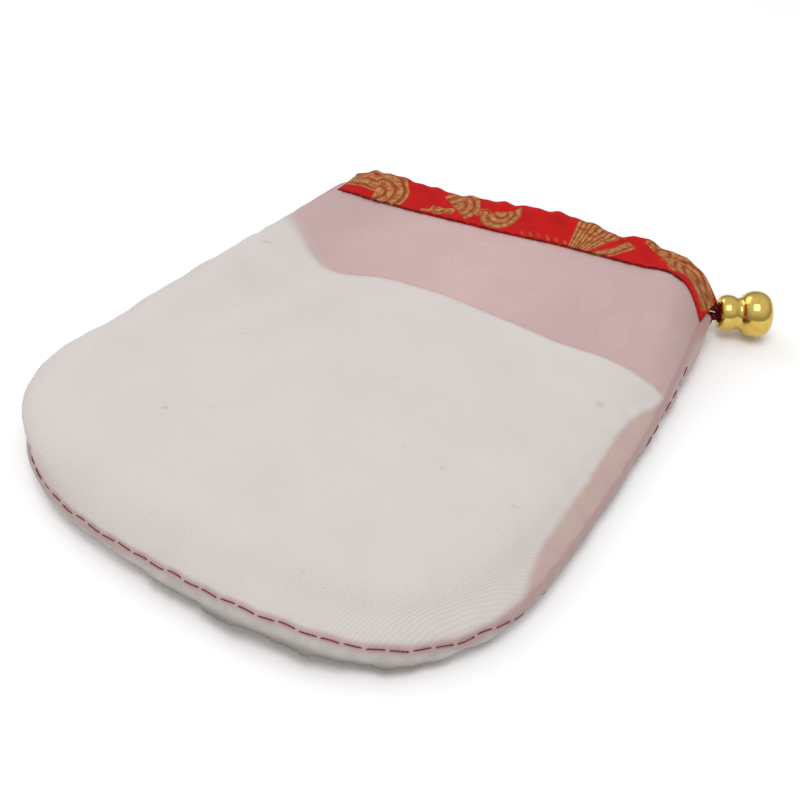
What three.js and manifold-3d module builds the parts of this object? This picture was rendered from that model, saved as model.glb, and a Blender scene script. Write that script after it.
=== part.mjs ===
// Kinchaku drawstring pouch, turned inside out and lying flat on a table.
// Millimetres. +Z is up, +Y runs from the sewn bottom to the mouth, +X runs along the mouth to
// the bead. The origin is on the table under the middle of the pouch.
//
// Two identical panels are sewn together round the sides and the bottom. Each panel is a sheet
// of satin lining, a pad of wadding and a sheet of brocade. The brocade is turned over the
// mouth edge of the lining and stitched down, and the drawcord runs in that fold.
import * as THREE from 'three';
import { mergeVertices } from 'three/addons/utils/BufferGeometryUtils.js';
import Module from 'manifold-3d';

// Outline of the sewn pouch
const BOTTOM_Y = -50;            // stitch line at the middle of the bottom
const ROUND_Y = -14;             // the sides stop here and the round bottom starts
const MOUTH_Y = 49;              // edge of the lining, inside the casing
const MOUTH_HALF_WIDTH = 38.5;
const BELLY_HALF_WIDTH = 44;     // half width where the round bottom starts
const BOTTOM_POWER = 2.9;        // 2 is an ellipse, more is squarer
const ALLOWANCE = 2.5;           // cloth left outside the stitch line
const MOUTH_ALLOWANCE = 0.6;     // the same beside the casing

// Heights
const SEAM_Z = 5;                // middle of the seam above the table
const BODY_TOP_Z = 12;           // crown of the padded body
const MOUTH_TOP_Z = 10.4;        // crown of the mouth at its middle
const MOUTH_LEAN = 3;            // the mouth stands this much higher at the bead's side
const MOUTH_FLOOR_Z = 1.7;       // the lower panel's mouth, raised by its own casing
const SEAM_SPREAD = 1.45;        // half the thickness of the sewn edge
const MOUTH_SPREAD = 2.6;        // the same where the casings end

// Cloth
const LINING = 0.5;
const WADDING = 1.6;
const WADDING_EDGE = 1;          // the pad thins out at its border
const BROCADE = 0.5;
const GAP = 0.3;                 // between neighbouring layers
const PAD_TOP_Y = 26;            // the pad ends below the mouth
const PAD_INSET = 2.5;           // and inside the stitch line

// Casing, cord, threads and bead
const CASING_EDGE_Y = 44.5;      // where the turned-over brocade ends
const FOLD_Y = MOUTH_Y + 2.2;    // the cord lies along this line
const FOLD_RADIUS = 1.6;         // middle of the cloth round the cord
const FOLD_OPEN = 130;           // degrees each way that the fold reaches round the cord
const CORD_RADIUS = 0.7;
const THREAD_RADIUS = 0.22;
const BEAD_START = new THREE.Vector3(39.9, 52.3, 4.7);
const BEAD_YAW = 30;             // degrees that the bead points from +X towards +Y
const BEAD_LENGTH = 9.6;
const BEAD_BORE = 1.85;
const KNOT_RADIUS = 2.2;
const KNOT_PLACE = 6.2;           // along the bead, where both ends of the cord are knotted

// Fineness of the plan mesh
const COLUMNS = 16;
const ROWS = 12;

const V3 = (x, y, z) => new THREE.Vector3(x, y, z);
const mix = THREE.MathUtils.lerp;
const smooth = THREE.MathUtils.smoothstep;

// ---------------------------------------------------------------- plan of the pouch

// Right half of the stitch line, from the mouth down to the middle of the bottom.
function halfOutline() {
  const points = [];
  for (let i = 0; i < 24; i++) {
    const s = i / 24;
    const x = mix(MOUTH_HALF_WIDTH, BELLY_HALF_WIDTH, s * (2 - s));
    points.push(new THREE.Vector2(x, mix(MOUTH_Y, ROUND_Y, s)));
  }
  for (let i = 0; i <= 40; i++) {
    const angle = (i / 40) * Math.PI / 2;
    const x = BELLY_HALF_WIDTH * Math.max(Math.cos(angle), 0) ** (2 / BOTTOM_POWER);
    const y = ROUND_Y - (ROUND_Y - BOTTOM_Y) * Math.sin(angle) ** (2 / BOTTOM_POWER);
    points.push(new THREE.Vector2(x, y));
  }
  const curve = new THREE.SplineCurve(points);
  curve.arcLengthDivisions = 1200;
  return curve;
}

const outline = halfOutline();

// A point of the stitch line, moved outwards by grow. t runs from -1 at the left end of the
// mouth through 0 at the middle of the bottom to 1 at the right end of the mouth.
function seamPoint(t, grow = 0) {
  const share = 1 - Math.abs(t);
  const point = outline.getPointAt(share);
  const along = outline.getTangentAt(Math.min(share, 0.999));
  const side = t < 0 ? -1 : 1;
  const x = point.x - along.y * grow;
  return new THREE.Vector2(side * x, point.y + along.x * grow);
}

const seamSamples = Array.from({ length: 401 }, (_, i) => seamPoint(i / 200 - 1));

// Distance from a plan point to the stitch line, negative on the allowance outside it.
function seamDistance(point, outside) {
  const nearest = Math.min(...seamSamples.map((sample) => sample.distanceTo(point)));
  return outside ? -nearest : nearest;
}

// Plan mesh: a grid inside the stitch line, relaxed until its cells are even, then straight
// rows up to the mouth, then one ring of allowance. Returns points and quads.
function planMesh() {
  const corner = 0.36;           // share of the half outline where the grid's corner sits
  const rowsAbove = [CASING_EDGE_Y, (CASING_EDGE_Y + MOUTH_Y) / 2, MOUTH_Y];
  const gridTop = 41.5;
  let sideEnd = 1;
  while (seamPoint(sideEnd).y > gridTop) sideEnd -= 0.001;
  const grid = [];
  for (let j = 0; j <= ROWS; j++) {
    const left = seamPoint(-mix(corner, sideEnd, j / ROWS));
    const right = seamPoint(mix(corner, sideEnd, j / ROWS));
    grid.push([]);
    for (let i = 0; i <= COLUMNS; i++) {
      const across = left.clone().lerp(right, i / COLUMNS);
      grid[j].push(j === 0 ? seamPoint(mix(-corner, corner, i / COLUMNS)) : across);
    }
  }
  for (let pass = 0; pass < 400; pass++) {
    for (let j = 1; j < ROWS; j++) {
      for (let i = 1; i < COLUMNS; i++) {
        const sum = grid[j - 1][i].clone().add(grid[j + 1][i]);
        grid[j][i] = sum.add(grid[j][i - 1]).add(grid[j][i + 1]).multiplyScalar(0.25);
      }
    }
  }
  for (const y of rowsAbove) {
    let t = sideEnd;
    while (t < 1 && seamPoint(t).y < y) t += 0.001;
    const right = seamPoint(Math.min(t, 1));
    grid.push(grid[0].map((_, i) => new THREE.Vector2(mix(-1, 1, i / COLUMNS) * right.x, y)));
  }
  const rows = grid.length;
  const points = grid.flat();
  const at = (i, j) => j * (COLUMNS + 1) + i;
  const quads = [];
  for (let j = 0; j + 1 < rows; j++) {
    for (let i = 0; i < COLUMNS; i++) {
      quads.push([at(i, j), at(i + 1, j), at(i + 1, j + 1), at(i, j + 1)]);
    }
  }
  // The chain of grid points on the stitch line, from the left of the mouth to the right.
  const chain = [];
  for (let j = rows - 1; j > 0; j--) chain.push(at(0, j));
  for (let i = 0; i <= COLUMNS; i++) chain.push(at(i, 0));
  for (let j = 1; j < rows; j++) chain.push(at(COLUMNS, j));
  const ringStart = points.length;
  chain.forEach((index, k) => {
    const here = points[index];
    const before = points[chain[Math.max(k - 1, 0)]];
    const after = points[chain[Math.min(k + 1, chain.length - 1)]];
    const along = after.clone().sub(before).normalize();
    const grow = mix(ALLOWANCE, MOUTH_ALLOWANCE, smooth(here.y, 38, CASING_EDGE_Y));
    const edge = k === 0 || k === chain.length - 1;
    const outward = edge ? [Math.sign(here.x), 0] : [along.y, -along.x];
    points.push(here.clone().addScaledVector(new THREE.Vector2(...outward), grow));
    if (k > 0) quads.push([ringStart + k - 1, ringStart + k, chain[k], chain[k - 1]]);
  });
  const distance = points.map((point, index) => seamDistance(point, index >= ringStart));
  chain.forEach((index) => { distance[index] = 0; });
  const mouthRows = [rows - 1, rows - 2, rows - 3].map((j) => grid[j].map((_, i) => at(i, j)));
  return { points, quads, distance, mouthRows };
}

const plan = planMesh();

// ---------------------------------------------------------------- heights of the two panels

const roll = (distance, radius) => 1 - (1 - THREE.MathUtils.clamp(distance / radius, 0, 1)) ** 2;
const towardsMouth = (y) => smooth(y, 10, MOUTH_Y);
const spreadAt = (y) => mix(SEAM_SPREAD, MOUTH_SPREAD, smooth(y, 34, 46));

// Outer face of the upper panel.
function topFace(x, y, distance) {
  const lean = x / MOUTH_HALF_WIDTH;
  const crown = mix(BODY_TOP_Z, MOUTH_TOP_Z + MOUTH_LEAN * lean, towardsMouth(y));
  const radius = mix(20, 15 - 7 * lean, towardsMouth(y));
  const edge = SEAM_Z + spreadAt(y);
  return mix(edge, crown, roll(distance, radius));
}

// Outer face of the lower panel: flat on the table inside its rolled edge.
function bottomFace(x, y, distance) {
  const floor = MOUTH_FLOOR_Z * smooth(y, 34, 46);
  return mix(SEAM_Z - spreadAt(y), floor, roll(distance, 12));
}

// Thickness of the wadding at each plan point: nothing outside the pad, thin at its border.
const padThickness = plan.points.map((point, index) => {
  const inside = Math.min(plan.distance[index] - PAD_INSET, PAD_TOP_Y - point.y);
  if (inside < 0) return 0;
  return mix(WADDING_EDGE, WADDING, smooth(inside, 0, 8));
});

// A panel: side is 1 for the upper one and -1 for the lower one. at(index, depth) is the point
// of the plan mesh that lies depth under the panel's outer face.
function panel(side) {
  const face = side > 0 ? topFace : bottomFace;
  const outer = plan.points.map(({ x, y }, index) => face(x, y, plan.distance[index]));
  const at = (index, depth) => {
    const { x, y } = plan.points[index];
    return V3(x, y, outer[index] - side * depth);
  };
  return { side, at };
}

// ---------------------------------------------------------------- closed sheets

// A closed sheet of cloth from the points of its two sides and the quads that join them.
// Quads run anticlockwise seen from sideA.
function closedSheet(sideA, sideB, quads) {
  const positions = [];
  const used = new Map();
  const open = new Map();
  const vertex = (index, onB) => {
    const key = onB ? index + sideA.length : index;
    if (!used.has(key)) {
      used.set(key, positions.length / 3);
      positions.push(...(onB ? sideB : sideA)[index].toArray());
    }
    return used.get(key);
  };
  const triangles = [];
  const addQuad = (a, b, c, d) => triangles.push(a, b, c, a, c, d);
  for (const quad of quads) {
    const [a, b, c, d] = quad.map((index) => vertex(index, false));
    addQuad(a, b, c, d);
    const [e, f, g, h] = quad.map((index) => vertex(index, true));
    triangles.push(e, g, f, e, h, g);
    quad.forEach((from, k) => {
      const to = quad[(k + 1) % 4];
      if (!open.delete(`${to} ${from}`)) open.set(`${from} ${to}`, [from, to]);
    });
  }
  for (const [from, to] of open.values()) {
    addQuad(vertex(to, false), vertex(from, false), vertex(from, true), vertex(to, true));
  }
  const geometry = new THREE.BufferGeometry();
  geometry.setAttribute('position', new THREE.Float32BufferAttribute(positions, 3));
  geometry.setIndex(triangles);
  return geometry;
}

// The quads seen from outside the panel: the lower panel is seen from below.
const turned = (quads, side) => (side > 0 ? quads : quads.map((quad) => [...quad].reverse()));

function liningSheet({ side, at }) {
  const outer = plan.points.map((_, index) => at(index, 0));
  const inner = plan.points.map((_, index) => at(index, LINING));
  return closedSheet(outer, inner, turned(plan.quads, side));
}

function waddingPad({ side, at }) {
  const outer = plan.points.map((_, index) => at(index, LINING + GAP));
  const inner = plan.points.map((_, index) => at(index, LINING + GAP + padThickness[index]));
  const quads = plan.quads.filter((quad) => quad.every((index) => padThickness[index] > 0));
  return closedSheet(outer, inner, turned(quads, side));
}

// The brocade lies under the pad, runs past the lining's mouth edge, turns round the cord and
// comes back over the outside of the lining as the casing.
function brocadePanel({ side, at }) {
  const depth = (index) => LINING + GAP + (padThickness[index] > 0 ? padThickness[index] + GAP : 0);
  const outer = plan.points.map((_, index) => at(index, depth(index)));
  const inner = plan.points.map((_, index) => at(index, depth(index) + BROCADE));
  const quads = [...plan.quads];
  const [mouthRow] = plan.mouthRows;
  let lastRow = mouthRow;
  const addRow = (pairs) => {
    const row = pairs.map(([towardsCord, away]) => {
      outer.push(towardsCord);
      inner.push(away);
      return outer.length - 1;
    });
    for (let i = 0; i < COLUMNS; i++) quads.push([lastRow[i], lastRow[i + 1], row[i + 1], row[i]]);
    lastRow = row;
  };
  const arcSteps = 6;
  for (let k = 0; k <= arcSteps; k++) {
    const angle = THREE.MathUtils.degToRad(mix(-FOLD_OPEN, FOLD_OPEN, k / arcSteps));
    addRow(mouthRow.map((index) => {
      const middle = at(index, LINING / 2);
      return [-1, 1].map((way) => {
        const radius = FOLD_RADIUS + way * BROCADE / 2;
        const z = middle.z + side * Math.sin(angle) * radius;
        return V3(middle.x, FOLD_Y + Math.cos(angle) * radius, z);
      });
    }));
  }
  for (const row of plan.mouthRows) {
    addRow(row.map((index) => [at(index, -GAP), at(index, -GAP - BROCADE)]));
  }
  return closedSheet(outer, inner, turned(quads, side));
}

// ---------------------------------------------------------------- cord, threads and bead

function tube(points, radius, steps, sides) {
  const path = new THREE.CatmullRomCurve3(points, false, 'centripetal');
  path.arcLengthDivisions = 2000;
  const section = new THREE.Shape();
  for (let i = 0; i < sides; i++) {
    const angle = (i / sides) * Math.PI * 2;
    const x = Math.cos(angle) * radius;
    const y = Math.sin(angle) * radius;
    if (i === 0) section.moveTo(x, y);
    else section.lineTo(x, y);
  }
  section.closePath();
  const settings = { extrudePath: path, steps, bevelEnabled: false, curveSegments: 1 };
  return new THREE.ExtrudeGeometry(section, settings);
}

// The middle of the fold along a panel's mouth, from the left end to the right end.
const foldLine = ({ at }) => plan.mouthRows[0].map((index) => {
  const point = at(index, LINING / 2);
  return V3(point.x, FOLD_Y, point.z);
});

const beadDirection = V3(1, 0, 0).applyAxisAngle(V3(0, 0, 1), THREE.MathUtils.degToRad(BEAD_YAW));
const alongBead = (distance, rise) => BEAD_START.clone().addScaledVector(beadDirection, distance)
  .add(V3(0, 0, rise));

// One cord: from the knot in the bead through the upper casing, round the left end of the
// mouth, back through the lower casing and into the bead again.
function cordRoute(upper, lower) {
  const strand = CORD_RADIUS + GAP / 2;
  const upperLine = foldLine(upper);
  const lowerLine = foldLine(lower);
  const turn = upperLine[0].clone().lerp(lowerLine[0], 0.5);
  turn.x -= (upperLine[0].z - lowerLine[0].z) / 2;
  return [
    alongBead(KNOT_PLACE, strand), alongBead(0, strand),
    ...[...upperLine].reverse(), turn, ...lowerLine,
    alongBead(0, -strand), alongBead(KNOT_PLACE, -strand),
  ];
}

// The stitch line lies on the allowance, just outside the rolled edge of the panel.
function seamThread({ side }) {
  const points = [];
  for (let i = 0; i <= 60; i++) {
    const point = seamPoint(mix(-0.9, 0.9, i / 60), 0.7);
    const z = SEAM_Z + side * (SEAM_SPREAD + GAP + THREAD_RADIUS);
    points.push(V3(point.x, point.y, z));
  }
  return tube(points, THREAD_RADIUS, 72, 6);
}

// The casing's stitching, on the turned-over brocade close to its edge.
function casingThread({ side, at }) {
  const [, middleRow, edgeRow] = plan.mouthRows;
  const points = edgeRow.slice(1, -1).map((index, i) => {
    const height = -GAP - BROCADE - GAP - THREAD_RADIUS;
    return at(index, height).lerp(at(middleRow[i + 1], height), 0.3);
  });
  return tube(points, THREAD_RADIUS, COLUMNS * 2, 6);
}

// Hollow gourd: a small lobe at the cord's side, a waist and a large lobe, pierced at the
// cord's side only. The profile is (radius, distance along the axis).
function gourdProfile() {
  const outer = new THREE.SplineCurve([
    [2.3, 0], [3.1, 1], [3.2, 2], [2.75, 3.6], [3.3, 4.6], [3.95, 5.7], [4.1, 6.8],
    [3.6, 8.4], [1.9, 9.4], [0, BEAD_LENGTH],
  ].map(([radius, along]) => new THREE.Vector2(radius, along))).getPoints(16);
  const hollow = new THREE.SplineCurve([
    [0, 8.6], [1.8, 8.3], [2.9, 7], [2.7, 5.6], [BEAD_BORE, 4.3], [BEAD_BORE, 2], [BEAD_BORE, 0],
  ].map(([radius, along]) => new THREE.Vector2(radius, along))).getPoints(10);
  outer[outer.length - 1].x = 0;
  hollow[0].x = 0;
  return [...outer, ...hollow].map((p) => new THREE.Vector2(Math.max(p.x, 0), p.y));
}

function gourdBead() {
  const profile = gourdProfile();
  profile.push(profile[0].clone());
  return new THREE.LatheGeometry(profile, 24);
}

// ---------------------------------------------------------------- joining solids

const wasm = await Module();
wasm.setup();

function toManifold(geometry) {
  const bare = geometry.clone();
  bare.deleteAttribute('normal');
  bare.deleteAttribute('uv');
  const merged = mergeVertices(bare, 1e-5);
  return new wasm.Manifold(new wasm.Mesh({
    numProp: 3,
    vertProperties: new Float32Array(merged.attributes.position.array),
    triVerts: new Uint32Array(merged.index.array),
  }));
}

function toGeometry(solid) {
  const mesh = solid.getMesh();
  const geometry = new THREE.BufferGeometry();
  geometry.setAttribute('position', new THREE.BufferAttribute(mesh.vertProperties, 3));
  geometry.setIndex(new THREE.BufferAttribute(mesh.triVerts, 1));
  return geometry;
}

// The cord and the knot that keeps its two ends in the bead are one piece.
function drawcord(upper, lower) {
  const cord = toManifold(tube(cordRoute(upper, lower), CORD_RADIUS, 80, 8));
  const knot = new THREE.SphereGeometry(KNOT_RADIUS, 12, 8);
  knot.translate(...alongBead(KNOT_PLACE, 0).toArray());
  return toGeometry(cord.add(toManifold(knot)));
}

// ---------------------------------------------------------------- the pouch

const finish = (color, roughness, metalness = 0) => new THREE.MeshStandardMaterial({
  color, roughness, metalness,
});
const satin = finish(0xd6ceca, 0.45);
const cotton = finish(0xf2f0ea, 0.95);
const brocade = finish(0xb01c20, 0.5);
const thread = finish(0x8a2238, 0.6);
const cordFinish = finish(0x9c1f2a, 0.6);
const brass = finish(0xd9a93c, 0.22, 1);

function named(name, geometry, material) {
  const mesh = new THREE.Mesh(geometry, material);
  mesh.name = name;
  return mesh;
}

const upper = panel(1);
const lower = panel(-1);

const cloth = new THREE.Group();
for (const [word, half] of [['upper', upper], ['lower', lower]]) {
  cloth.add(
    named(`${word}_lining`, liningSheet(half), satin),
    named(`${word}_wadding`, waddingPad(half), cotton),
    named(`${word}_brocade`, brocadePanel(half), brocade),
    named(`${word}_casing_stitching`, casingThread(half), thread),
  );
}
cloth.add(
  named('seam_needle_thread', seamThread(upper), thread),
  named('seam_bobbin_thread', seamThread(lower), thread),
);

const closure = new THREE.Group();
const bead = named('gourd_bead', gourdBead(), brass);
bead.position.copy(BEAD_START);
bead.quaternion.setFromUnitVectors(V3(0, 1, 0), beadDirection);
closure.add(named('drawcord', drawcord(upper, lower), cordFinish), bead);

const pouch = new THREE.Group();
pouch.add(cloth, closure);

export default pouch;
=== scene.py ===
import math

import bpy
import numpy as np
from mathutils import Matrix, Vector


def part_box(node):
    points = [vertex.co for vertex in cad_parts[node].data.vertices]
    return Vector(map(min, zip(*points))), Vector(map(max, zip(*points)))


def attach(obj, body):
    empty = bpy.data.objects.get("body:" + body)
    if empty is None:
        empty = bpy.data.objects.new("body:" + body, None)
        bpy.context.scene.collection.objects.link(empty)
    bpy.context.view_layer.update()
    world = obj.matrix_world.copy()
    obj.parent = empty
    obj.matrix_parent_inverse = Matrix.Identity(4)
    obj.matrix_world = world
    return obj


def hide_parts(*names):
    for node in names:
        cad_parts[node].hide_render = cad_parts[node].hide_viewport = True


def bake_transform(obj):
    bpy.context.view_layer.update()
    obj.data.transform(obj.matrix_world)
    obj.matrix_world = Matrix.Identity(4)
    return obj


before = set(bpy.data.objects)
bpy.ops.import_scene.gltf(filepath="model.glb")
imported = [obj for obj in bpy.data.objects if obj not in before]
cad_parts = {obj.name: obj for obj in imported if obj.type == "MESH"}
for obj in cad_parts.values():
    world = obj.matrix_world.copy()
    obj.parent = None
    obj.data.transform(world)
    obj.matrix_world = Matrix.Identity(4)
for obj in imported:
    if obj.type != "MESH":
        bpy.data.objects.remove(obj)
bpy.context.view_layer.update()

# A kinchaku pouch turned inside out: two panels of satin lining, wadding and brocade, sewn
# round the sides and the bottom. The brocade is turned over the mouth as a casing for the
# drawcord, whose ends go into a gourd-shaped brass bead. Shapes are worked out in millimetres,
# by code alone: no simulation runs.
MM = 0.001
TAU = 2 * math.pi

lining_low, lining_high = (np.array(corner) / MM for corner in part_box("upper_lining"))

# Plan of the pouch
ALLOWANCE = 2.5                              # cloth outside the stitch line
MOUTH_Y = lining_high[1]                     # the lining ends here, inside the casing
BOTTOM_Y = lining_low[1] + ALLOWANCE         # stitch line at the middle of the bottom
BELLY = lining_high[0] - ALLOWANCE           # half width where the round bottom starts
MOUTH_HALF = 38.5
ROUND_Y = -14.0
BOTTOM_POWER = 2.9
GRID_CORNER = 0.36                           # share of the half outline at the grid's corner

# Heights
BODY_TOP = 10.6
SEAM_SPREAD = 0.55                           # half the thickness of the sewn edge
MOUTH_SPREAD = 1.35
LOWER_MOUTH_Z = 1.7

# Cloth
LINING = 0.22
BROCADE = 0.35
WADDING = 1.5
LAYER_GAP = 0.12

# Casing
CASING_EDGE = 44.5
FOLD_Y = MOUTH_Y + 2.2
FOLD_RADIUS = 1.4
FOLD_OPEN = 128
FOLD_STEPS = 16
CLOTH_TURN = 62.0                            # the panel goes on from the casing in the cloth

CASING_HALF = 39.4                           # half width that the casing's tables run over
TURN_DROP = 1.35                             # from the casing's top to the middle of its fold
MOUTH_ROLL = (21.0, CASING_EDGE)             # where the padded face goes over into the mouth
LOWER_ROLL = 7.5                             # width over which the lower panel rolls up

# Fineness
COARSE_COLUMNS, COARSE_ROWS = 18, 19
DOUBLINGS = 3
RING_STEPS = 4


# Stops along the stitch line are (t, value), from the mouth's left end round the bottom.
SEAM_HEIGHT = (
    (-1, 5.2), (-0.5, 5.2), (-0.3, 4.7), (-0.2, 4.2), (-0.1, 4.6), (0.05, 4.8), (0.14, 5.1),
    (0.24, 4.1), (0.35, 3.5), (0.5, 3.4), (0.72, 3.4), (0.85, 4.2), (0.93, 4.8), (1, 5.0),
)
# How steeply the raw edge hangs from the stitches; over 90 it is tucked under the pouch.
SEAM_DROOP = (
    (-1, 80), (-0.6, 78), (-0.4, 85), (-0.3, 100), (-0.17, 108), (-0.07, 100), (0.01, 80),
    (0.26, 80), (0.34, 110), (0.42, 128), (0.7, 128), (0.8, 92), (0.88, 70), (1, 60),
)
# Share of the full allowance that is left along the seam
SEAM_TRIM = (
    (-1, 1), (-0.4, 0.9), (-0.3, 0.65), (-0.2, 0.5), (-0.08, 0.6), (0.02, 1), (0.24, 1), (0.34, 0.75),
    (0.5, 0.7), (0.75, 0.75), (0.9, 0.85), (1, 1),
)
# Little folds in the bare strip beside the pad: from (x, y) to (x, y)
STRIP_FOLDS = (
    ((39.8, 25.2), (43.0, 31.4)), ((40.0, 17.4), (42.8, 23.3)), ((41.6, 4.0), (43.2, 8.0)),
)


# ---------------------------------------------------------------- small maths

def ease(value, low, high):
    share = np.clip((value - low) / (high - low), 0, 1)
    return share * share * (3 - 2 * share)


def mix(a, b, share):
    return a + (b - a) * share


def bump_at(x, y, centre, width):
    return np.exp(-((x - centre[0]) / width[0]) ** 2 - ((y - centre[1]) / width[1]) ** 2)


def through(stops, x):
    """A smooth curve through a few (x, value) stops."""
    at, value = np.array(stops, float).T
    slope = np.gradient(value, at)
    index = np.clip(np.searchsorted(at, x) - 1, 0, len(at) - 2)
    span = at[index + 1] - at[index]
    t = np.clip((x - at[index]) / span, 0, 1)
    h = t * t * (3 - 2 * t)
    rise = t * (1 - t) * span * ((1 - t) * slope[index] - t * slope[index + 1])
    return mix(value[index], value[index + 1], h) + rise


def ripples(x, y, length, turns=7):
    """Soft irregular waves about length long, from -1 to 1."""
    total = np.zeros(np.broadcast(x, y).shape)
    for k in range(turns):
        angle = 2.4 * k + 0.7
        wave = length * (0.75 + 0.13 * k)
        phase = x * math.cos(angle) + y * math.sin(angle)
        total = total + np.sin(TAU * phase / wave + 1.9 * k)
    return total / turns ** 0.5 / 1.5


# ---------------------------------------------------------------- plan of a panel

class Outline:
    """The stitch line, from -1 at the mouth's left end through 0 at the bottom to 1."""

    def __init__(self):
        side = np.linspace(0, 1, 200, endpoint=False)
        angle = np.linspace(0, math.pi / 2, 400)
        round_x = BELLY * np.maximum(np.cos(angle), 0) ** (2 / BOTTOM_POWER)
        round_y = ROUND_Y - (ROUND_Y - BOTTOM_Y) * np.sin(angle) ** (2 / BOTTOM_POWER)
        x = np.concatenate([mix(MOUTH_HALF, BELLY, side * (2 - side)), round_x])
        y = np.concatenate([mix(MOUTH_Y, ROUND_Y, side), round_y])
        step = np.hypot(np.diff(x), np.diff(y))
        self.arc = np.concatenate([[0], np.cumsum(step)])
        self.length = self.arc[-1]
        self.x, self.y = x, y

    def at(self, t, grow=0.0):
        t = np.asarray(t, float)
        here = (1 - np.abs(t)) * self.length
        point = self._half(here)
        along = self._half(np.minimum(here + 0.4, self.length)) - self._half(here - 0.4)
        along /= np.maximum(np.linalg.norm(along, axis=-1, keepdims=True), 1e-9)
        outward = np.stack([-along[..., 1], along[..., 0]], -1)
        point = point + outward * np.asarray(grow)[..., None]
        point[..., 0] *= np.where(t < 0, -1, 1)
        return point

    def outward(self, t):
        """Unit way out of the pouch, square to the stitch line."""
        return self.at(t, np.ones(len(t))) - self.at(t)

    def _half(self, arc):
        x = np.interp(arc, self.arc, self.x)
        y = np.interp(arc, self.arc, self.y)
        past = np.minimum(arc, 0)
        return np.stack([x, y - past], -1)

    def nearest(self, points):
        """Distance to the stitch line and the place t on it that is nearest."""
        t = np.linspace(-1, 1, 1400)
        line = self.at(t)
        gap = np.empty(len(points))
        where = np.empty(len(points))
        for start in range(0, len(points), 2000):
            part = points[start:start + 2000]
            squared = ((part[:, None] - line[None]) ** 2).sum(-1)
            best = squared.argmin(1)
            gap[start:start + 2000] = np.sqrt(squared[np.arange(len(part)), best])
            where[start:start + 2000] = t[best]
        return gap, where


OUTLINE = Outline()


def grid_border(columns, rows):
    """An empty grid whose border lies on the stitch line and the mouth's edge."""
    grid = np.zeros((rows + 1, columns + 1, 2))
    up = mix(GRID_CORNER, 1.0, np.linspace(0, 1, rows + 1))
    grid[0] = OUTLINE.at(mix(-GRID_CORNER, GRID_CORNER, np.linspace(0, 1, columns + 1)))
    grid[:, 0] = OUTLINE.at(-up)
    grid[:, -1] = OUTLINE.at(up)
    grid[-1, :, 0] = np.linspace(grid[-1, 0, 0], grid[-1, -1, 0], columns + 1)
    grid[-1, :, 1] = MOUTH_Y
    return grid


def relax(grid, passes):
    for _ in range(passes):
        around = grid[:-2, 1:-1] + grid[2:, 1:-1] + grid[1:-1, :-2] + grid[1:-1, 2:]
        grid[1:-1, 1:-1] = around / 4
    return grid


def doubled(grid):
    """The grid with every cell cut in four and its border back on the outline."""
    rows, columns = grid.shape[0] - 1, grid.shape[1] - 1
    fine = grid_border(columns * 2, rows * 2)
    inside = np.zeros_like(fine)
    inside[::2, ::2] = grid
    inside[1::2, ::2] = (grid[:-1] + grid[1:]) / 2
    inside[:, 1::2] = (inside[:, :-1:2] + inside[:, 2::2]) / 2
    fine[1:-1, 1:-1] = inside[1:-1, 1:-1]
    return fine


class Plan:
    """The plan mesh that every layer of both panels shares."""

    def __init__(self):
        grid = grid_border(COARSE_COLUMNS, COARSE_ROWS)
        for j in range(1, COARSE_ROWS):
            share = np.linspace(0, 1, COARSE_COLUMNS + 1)[1:-1, None]
            grid[j, 1:-1] = mix(grid[j, 0], grid[j, -1], share)
        grid = relax(grid, 600)
        for _ in range(DOUBLINGS):
            grid = relax(doubled(grid), 40)
        self.rows, self.columns = grid.shape[0] - 1, grid.shape[1] - 1
        index = np.arange(grid.shape[0] * grid.shape[1]).reshape(grid.shape[:2])
        self.index = index
        self.quads = self.cells(index)
        points = grid.reshape(-1, 2)
        chain = np.concatenate([index[:0:-1, 0], index[0], index[1:, -1]])
        t = np.concatenate([
            -mix(GRID_CORNER, 1.0, np.linspace(1, 0, self.rows + 1))[:-1],
            mix(-GRID_CORNER, GRID_CORNER, np.linspace(0, 1, self.columns + 1)),
            mix(GRID_CORNER, 1.0, np.linspace(0, 1, self.rows + 1))[1:],
        ])
        self.gap, self.where = OUTLINE.nearest(points)
        self.gap[chain] = 0
        self.where[chain] = t
        width = self.allowance(t)
        ring = [chain]
        all_points, gaps, wheres = [points], [self.gap], [self.where]
        count = len(points)
        for k in range(1, RING_STEPS + 1):
            share = k / RING_STEPS
            all_points.append(OUTLINE.at(t, width * share))
            gaps.append(-width * share)
            wheres.append(t)
            ring.append(np.arange(count, count + len(t)))
            count += len(t)
        self.ring = ring
        self.quads = np.concatenate([self.quads, self.cells(np.array(ring))[:, ::-1]])
        self.points = np.concatenate(all_points)
        self.gap = np.concatenate(gaps)
        self.where = np.concatenate(wheres)
        self.mouth_row = index[-1]

    @staticmethod
    def allowance(t):
        """Width of the raw edge outside the stitches: uneven, and narrow at the mouth."""
        arc = t * OUTLINE.length
        uneven = ripples(arc, 0 * arc, 9.0) * 0.45 + ripples(arc, 0 * arc + 50, 2.6) * 0.22
        body = ALLOWANCE * 0.86 + uneven
        return mix(body * through(SEAM_TRIM, t), 0.5, ease(np.abs(t), 0.925, 0.955))

    @staticmethod
    def cells(index):
        """Quads of a grid of indices, anticlockwise where rows run up and columns right."""
        corners = (index[:-1, :-1], index[:-1, 1:], index[1:, 1:], index[1:, :-1])
        return np.stack([c.ravel() for c in corners], -1)


PLAN = Plan()


# ---------------------------------------------------------------- heights

ROLL_RADIUS = (
    (-1, 9), (-0.62, 8.6), (-0.5, 7.6), (-0.4, 7.0), (-0.3, 7.5), (-0.2, 9.5), (-0.08, 12),
    (0.25, 13), (0.45, 15), (1, 15),
)
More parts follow.
